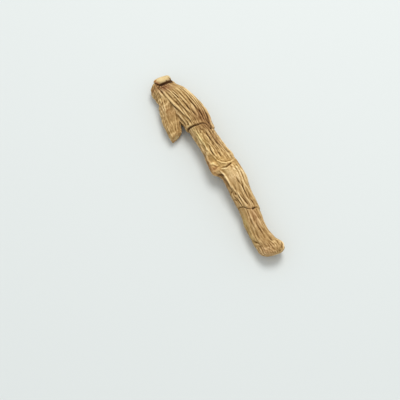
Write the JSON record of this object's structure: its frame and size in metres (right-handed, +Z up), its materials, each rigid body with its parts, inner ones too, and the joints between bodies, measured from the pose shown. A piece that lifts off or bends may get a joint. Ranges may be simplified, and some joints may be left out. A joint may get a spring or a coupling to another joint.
{
  "type": "dried costus root",
  "caption": "Thick ribbed dried root lying on its side, with jointed bark, a short side leg, a rootlet stub and a pale cut crown.",
  "frame": {"origin": "under the middle of the root's box, on the surface that it rests on", "axes": "+X along the root from the cut crown to the tip, +Y away from the side leg, +Z up from the surface"},
  "size_m": [0.128, 0.0257, 0.0146],
  "materials": {
    "bark": "dry matt furrowed bark, golden tan on the ribs and brown in the furrows, with pale cream wood at the cut crown"
  },
  "bodies": {
    "root": {"costus_root": "bark"}
  },
  "joints": []
}
